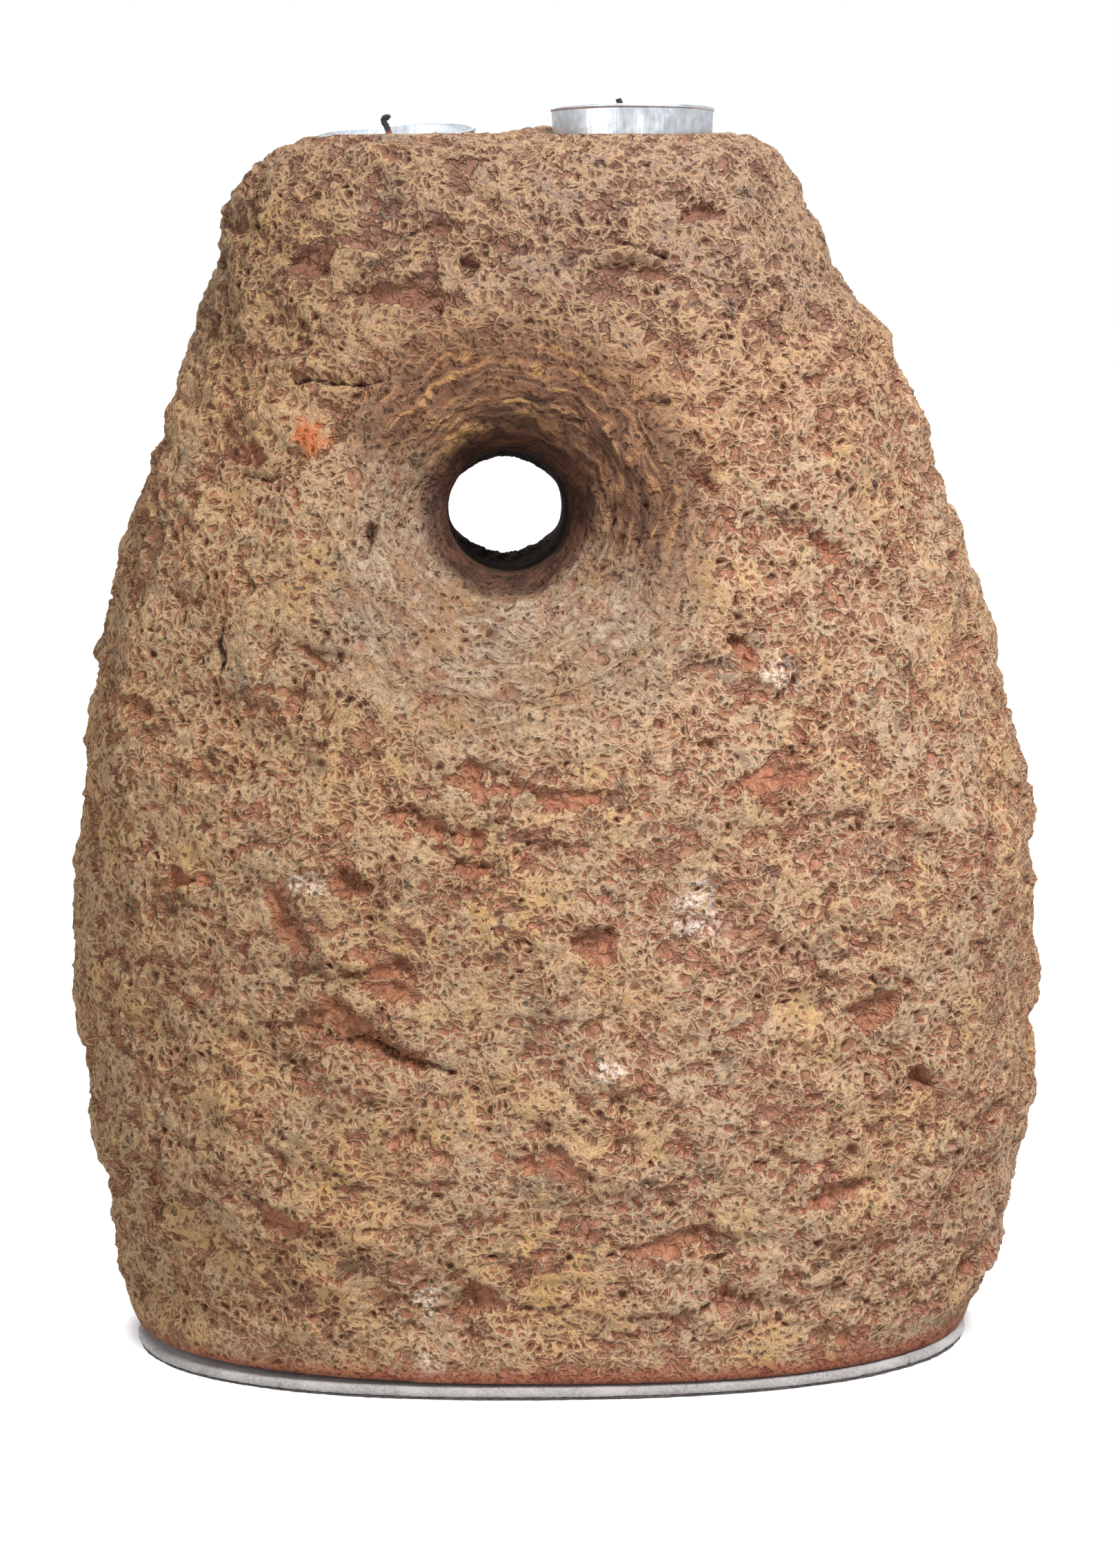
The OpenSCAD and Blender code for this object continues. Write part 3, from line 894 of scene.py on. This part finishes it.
def wick_mesh(name, path, radius, seed):
    """A braided cotton wick, burnt thin and lumpy at its tip."""
    rings, sides = [], 24
    verts, faces = [], []
    points = curve_points(path, 10)
    side = Vector((0, 1, 0))
    for n, point in enumerate(points):
        ahead = points[min(n + 1, len(points) - 1)] - points[max(n - 1, 0)]
        tangent = ahead.normalized()
        across = tangent.cross(side).normalized()
        side = across.cross(tangent).normalized()
        t = n / (len(points) - 1)
        closing = math.sqrt(max(0.0, 1 - ((t - 0.955) / 0.045) ** 2)) if t > 0.955 else 1
        ring = []
        for i in range(sides):
            a = 2 * math.pi * i / sides
            braid = 0.09 * math.sin(3 * a + n * 0.9) + 0.07 * math.sin(3 * a - n * 0.9)
            burnt = 0.22 * noise.noise(Vector((math.cos(a) * 1.3, math.sin(a) * 1.3, n * 0.35 + seed)))
            r = radius * max(0.04, closing) * (1 + braid + burnt * smoothstep((t - 0.5) / 0.2))
            at = point + across * math.cos(a) * r + side * math.sin(a) * r
            ring.append(len(verts))
            verts.append(at * MM)
        rings.append(ring)
    for low, high in zip(rings, rings[1:]):
        for i, j in around(sides):
            faces.append((low[i], low[j], high[j], high[i]))
    faces.append(rings[0][::-1])
    faces.append(rings[-1])
    mesh = bpy.data.meshes.new(name)
    mesh.from_pydata(verts, [], faces)
    return mesh


def foil_material():
    mat, net, shader = material("cup_foil")
    p = net.object_mm()
    stretched = net.vec("MULTIPLY", p, (1.0, 1.0, 0.08))
    fine = net.noise(stretched, 0.35, 3.0, 0.6)
    broad = net.noise(net.vec("MULTIPLY", p, (1.0, 1.0, 0.35)), 4.0, 2.0)
    dull = net.noise(p, 2.0, 4.0, 0.6)
    colour = net.shades(dull, 0.35, 0.65, srgb(196, 203, 210), srgb(222, 227, 232))
    uneven = net.add(net.mul(fine, 0.5), net.mul(broad, 0.5))
    net.paint(shader, colour, net.ramp(uneven, 0.35, 0.65, 0.28, 0.5))
    shader.inputs["Metallic"].default_value = 1.0
    net.bump(shader, net.add(fine, net.mul(broad, 0.6), net.mul(dull, 0.2)), 0.4, 0.06)
    return mat


def wax_material():
    mat, net, shader = material("paraffin")
    p = net.object_mm()
    cloud = net.noise(p, 5.0, 3.0, 0.55)
    fine = net.noise(p, 0.8, 3.0, 0.6)
    colour = net.shades(cloud, 0.35, 0.65, srgb(226, 224, 220), srgb(242, 241, 238))
    net.paint(shader, colour, net.ramp(cloud, 0.35, 0.65, 0.32, 0.55))
    shader.inputs["Subsurface Weight"].default_value = 0.35
    shader.inputs["Subsurface Radius"].default_value = (0.9, 0.8, 0.7)
    shader.inputs["Subsurface Scale"].default_value = 0.003
    net.bump(shader, net.add(fine, cloud), 0.3, 0.1)
    return mat


def wick_material():
    mat, net, shader = material("charred_wick")
    p = net.object_mm()
    height = net.parts(p)[2]
    char = net.noise(p, 0.5, 3.0, 0.65)
    burnt = net.ramp(net.add(height, net.mul(char, 2.0)), 16.4, 18.0)
    cotton = net.shades(char, 0.4, 0.6, srgb(104, 54, 34), srgb(150, 92, 62))
    soot = net.shades(char, 0.4, 0.65, srgb(18, 15, 14), srgb(46, 38, 34))
    net.paint(shader, net.tint(burnt, cotton, soot), net.ramp(char, 0.3, 0.7, 0.7, 0.95))
    net.bump(shader, char, 0.8, 0.12)
    return mat


def metal_tab_material():
    mat, net, shader = material("tinplate")
    p = net.object_mm()
    stain = net.noise(p, 1.6, 4.0, 0.6)
    colour = net.shades(stain, 0.35, 0.65, srgb(150, 148, 142), srgb(206, 205, 200))
    net.paint(shader, colour, net.ramp(stain, 0.3, 0.7, 0.25, 0.5))
    shader.inputs["Metallic"].default_value = 1.0
    return mat


# Each wick's path in its cup's own frame, in millimetres
WICKS = {
    "left": [(0, 0, 1.2), (0.1, 0, 7), (-0.7, -0.2, 12), (-1.3, -0.2, 16.6), (-2.1, 0, 18.4),
             (-2.0, 0.1, 19.3), (-1.3, 0.1, 19.5), (-0.8, 0, 19.1)],
    "right": [(0, 0, 1.2), (0.1, 0, 6), (-0.6, 0.1, 11), (-1.9, 0.1, 15.4), (-3.0, 0, 17.4),
              (-3.3, 0, 18.3)],
}


def tealights():
    foil, wax, char, tab = foil_material(), wax_material(), wick_material(), metal_tab_material()
    for n, (side, path) in enumerate(WICKS.items()):
        body = side + "_tealight"
        place = seat_frame(side)
        parts = (
            ("cup", "cup_foil", cup_mesh(side + "_cup_shell", 3.1 + 5 * n), foil),
            ("wax", "wax", wax_mesh(side + "_wax_fill", 1.7 + 4 * n), wax),
            ("wick", "wick", wick_mesh(side + "_wick_burnt", path, WICK_R, 2.3 + n), char),
        )
        for part, slot_name, mesh, mat in parts:
            piece = finish_mesh(mesh.name, mesh, mat)
            piece.matrix_world = place
            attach(piece, body)
            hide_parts(side + "_" + part)
        paint_node(side + "_wick_tab", tab)


def paint_node(node, mat):
    """Gives a CAD node that stays a better material."""
    thing = frame["nodes"][node]
    if not thing.material_slots:
        thing.data.materials.append(mat)
    for slot in thing.material_slots:
        slot.material = mat


# ---- Foot pad ----


def pad_outline(node, steps):
    """The node's outline as evenly spaced points (x, y) in millimetres, from its CAD mesh."""
    points = read_vectors(frame["nodes"][node].data, "co") / MM
    rim = points[points[:, 2] < points[:, 2].min() + 0.01][:, :2]
    rim = np.unique(np.round(rim, 3), axis=0)
    rim = rim[np.argsort(np.arctan2(rim[:, 1], rim[:, 0]))]
    n = len(rim)
    t = np.arange(steps) * n / steps
    k = t.astype(int)
    return catmull_rom(*(rim[(k + j) % n] for j in (-1, 0, 1, 2)), (t - k)[:, None])


def slab(name, outline, profile, rough, seed, notches=()):
    """A flat sheet with a worked edge. profile lists (inset, height, roughness share) up the edge;
    notches lists (angle in degrees, half width in mm, depth)."""
    count = len(outline)
    ahead = np.roll(outline, -1, axis=0) - np.roll(outline, 1, axis=0)
    normal = np.stack([ahead[:, 1], -ahead[:, 0]], axis=1)
    normal /= np.linalg.norm(normal, axis=1)[:, None]
    angle = np.degrees(np.arctan2(outline[:, 1], outline[:, 0]))
    verts, faces = [], []
    for inset, z, share in profile:
        for i in range(count):
            x, y = outline[i]
            wave = noise.noise(Vector((x * 0.08, y * 0.08, seed)))
            frizz = noise.noise(Vector((x * 0.7, y * 0.7, z * 0.9 + seed)))
            fuzz = noise.noise(Vector((x * 2.1, y * 2.1, z * 2.2 + seed)))
            move = rough * (0.5 * wave + share * (0.55 * frizz + 0.35 * fuzz))
            for where, half, deep in notches:
                away = abs((angle[i] - where + 180) % 360 - 180) * math.pi / 180 * math.hypot(x, y)
                move -= deep * max(0.0, 1 - away / half)
            out = outline[i] + normal[i] * (move - inset)
            lift = rough * share * 0.3 * fuzz
            verts.append((out[0] * MM, out[1] * MM, (z + lift) * MM))
    for k in range(len(profile) - 1):
        for i, j in around(count):
            faces.append((k * count + i, k * count + j, (k + 1) * count + j, (k + 1) * count + i))
    top = (len(profile) - 1) * count
    for base, z, flip in ((top, profile[-1][1], False), (0, profile[0][1], True)):
        ring = [base + i for i in range(count)]
        for share in (0.7, 0.35):
            start = len(verts)
            for i in range(count):
                verts.append((verts[base + i][0] * share, verts[base + i][1] * share, z * MM))
            for i, j in around(count):
                face = (ring[i], ring[j], start + j, start + i)
                faces.append(face[::-1] if flip else face)
            ring = [start + i for i in range(count)]
        centre = len(verts)
        verts.append((0, 0, z * MM))
        for i, j in around(count):
            face = (ring[i], ring[j], centre)
            faces.append(face[::-1] if flip else face)
    mesh = bpy.data.meshes.new(name)
    mesh.from_pydata(verts, [], faces)
    mesh.validate()
    return mesh


def felt_material():
    mat, net, shader = material("pressed_felt")
    p = net.object_mm()
    fibre = net.noise(net.vec("MULTIPLY", p, (1.0, 1.0, 1.6)), 0.6, 4.0, 0.7)
    speck = net.noise(p, 1.6, 3.0, 0.6)
    patch = net.noise(p, 14.0, 2.0)
    colour = net.shades(fibre, 0.3, 0.7, srgb(132, 128, 127), srgb(176, 171, 170))
    colour = net.tint(net.mul(net.inv(net.ramp(speck, 0.34, 0.44)), 0.4), colour, srgb(116, 108, 104))
    colour = net.tint(net.mul(net.ramp(patch, 0.4, 0.6), 0.25), colour, srgb(220, 214, 214))
    net.paint(shader, colour, net.ramp(fibre, 0.3, 0.7, 0.75, 0.95))
    shader.inputs["Sheen Weight"].default_value = 0.3
    shader.inputs["Sheen Roughness"].default_value = 0.5
    net.bump(shader, net.add(fibre, speck), 0.7, 0.25)
    return mat


# A thin dark sheet under the felt; its dark colour is also painted shadow, standing in for the pad's
# contact shadow.
def backing_and_shadow_material():
    mat, net, shader = material("backing_and_contact_shadow")
    p = net.object_mm()
    speck = net.noise(p, 0.7, 4.0, 0.65)
    colour = net.shades(speck, 0.35, 0.65, srgb(48, 42, 40), srgb(88, 80, 76))
    net.paint(shader, colour, net.ramp(speck, 0.3, 0.7, 0.7, 0.95))
    net.bump(shader, speck, 0.6, 0.15)
    return mat


def glue_material():
    mat, net, shader = material("cured_glue")
    p = net.object_mm()
    cloud = net.noise(p, 2.0, 3.0, 0.6)
    colour = net.shades(cloud, 0.35, 0.65, srgb(44, 38, 35), srgb(70, 62, 57))
    net.paint(shader, colour, net.ramp(cloud, 0.3, 0.7, 0.3, 0.6))
    return mat


def foot_pad():
    low, high = PAD_LOW.z / MM, PAD_HIGH.z / MM
    outline = pad_outline("felt_pad", 1400)
    edge = [(1.6, low, 0.2), (0.5, low, 1.0), (0.1, low + 0.4, 1.0), (0.0, low + 0.9, 0.7)]
    edge += [(0.0, low + 1.3, 0.6), (0.1, high - 0.7, 0.5), (0.3, high - 0.35, 0.45)]
    edge += [(0.7, high - 0.1, 0.4), (1.4, high, 0.2)]
    seams = ((-25, 0.6, 1.0),)
    mesh = slab("grey_felt_pad", outline, edge, 0.5, 4.2, seams)
    pad = finish_mesh("grey_felt_pad", mesh, felt_material())
    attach(pad, "holder")
    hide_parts("felt_pad")
    outline = pad_outline("pad_backing", 900)
    edge = [(0.8, 0.0, 0.1), (0.2, 0.1, 0.6), (0.0, low * 0.5, 1.0), (0.2, low - 0.06, 0.8)]
    edge.append((1.2, low - 0.02, 0.2))
    # dark sheet under the felt, whose colour also paints the pad's contact shadow
    under = finish_mesh("backing_and_contact_shadow", slab("backing_and_contact_shadow", outline, edge, 0.6, 9.4), backing_and_shadow_material())
    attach(under, "holder")
    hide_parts("pad_backing")
    paint_node("glue_dabs", glue_material())


# ---- Stage ----


def add_light(name, place, target, size, power):
    data = bpy.data.lights.new(name, "AREA")
    data.shape = "RECTANGLE"
    data.size, data.size_y = size
    data.energy = power
    lamp = bpy.data.objects.new(name, data)
    bpy.context.scene.collection.objects.link(lamp)
    lamp.location = place
    lamp.rotation_euler = (Vector(target) - Vector(place)).to_track_quat("-Z", "Y").to_euler()


def seen_share(net):
    """1 where the camera looks straight at the stage, less in reflections, 0 as a source of light."""
    ray = net.new("ShaderNodeLightPath").outputs
    return net.most(ray["Is Camera Ray"], net.mul(ray["Is Glossy Ray"], 0.4))


def stage():
    """A white floor that takes a shadow only near the pad, a white world and four soft lamps."""
    mesh = bpy.data.meshes.new("floor")
    half = 4.0
    corners = [(half * a, half * b, 0) for a, b in ((-1, -1), (1, -1), (1, 1), (-1, 1))]
    mesh.from_pydata(corners, [], [(0, 1, 2, 3)])
    mat, net, shader = material("pale_floor")
    x, y = net.parts(net.new("ShaderNodeTexCoord").outputs["Object"])[0:2]
    reach = net.add(net.mul(net.mul(x, x), PAD_HIGH.x ** -2), net.mul(net.mul(y, y), PAD_HIGH.y ** -2))
    far = net.ramp(reach, 1.0, 1.16)
    seen = seen_share(net)
    net.paint(shader, net.tint(far, (0.9, 0.9, 0.9, 1), (0.3, 0.3, 0.3, 1)), 0.9)
    shader.inputs["Emission Color"].default_value = (1, 1, 1, 1)
    net.put(shader.inputs["Emission Strength"], net.mul(far, net.blend(seen, 0.52, 1.0)))
    shader.inputs["Specular IOR Level"].default_value = 0.0
    floor = finish_mesh("floor", mesh, mat, smooth=False)

    world = bpy.data.worlds.new("studio")
    bpy.context.scene.world = world
    world.use_nodes = True
    net = Net(world.node_tree)
    seen = seen_share(net)
    sky = world.node_tree.nodes["Background"]
    sky.inputs["Color"].default_value = (1, 1, 1, 1)
    net.put(sky.inputs["Strength"], net.blend(seen, 0.5, 1.0))
    middle = (0, 0, 0.15)
    add_light("key", (0.45, -0.8, 1.1), middle, (0.4, 0.4), 22)
    add_light("fill", (-1.1, -1.0, 0.5), middle, (0.9, 0.9), 6)
    add_light("top", (0.1, 0.25, 1.4), middle, (0.7, 0.7), 8)
    add_light("back", (-0.4, 1.2, 0.9), middle, (0.9, 0.9), 5)


def camera():
    data = bpy.data.cameras.new("camera")
    data.lens = 101.64
    data.sensor_width = 36
    data.clip_start = 0.05
    data.clip_end = 20
    cam = bpy.data.objects.new("camera", data)
    bpy.context.scene.collection.objects.link(cam)
    cam.location = (0.0011, -1.05, 0.294)
    looks_down = 8.7
    cam.rotation_euler = (math.radians(90 - looks_down), 0, 0)
    bpy.context.scene.camera = cam


camera()
stage()
bpy.context.scene.view_settings.view_transform = "Standard"
clay_body()
tealights()
foot_pad()
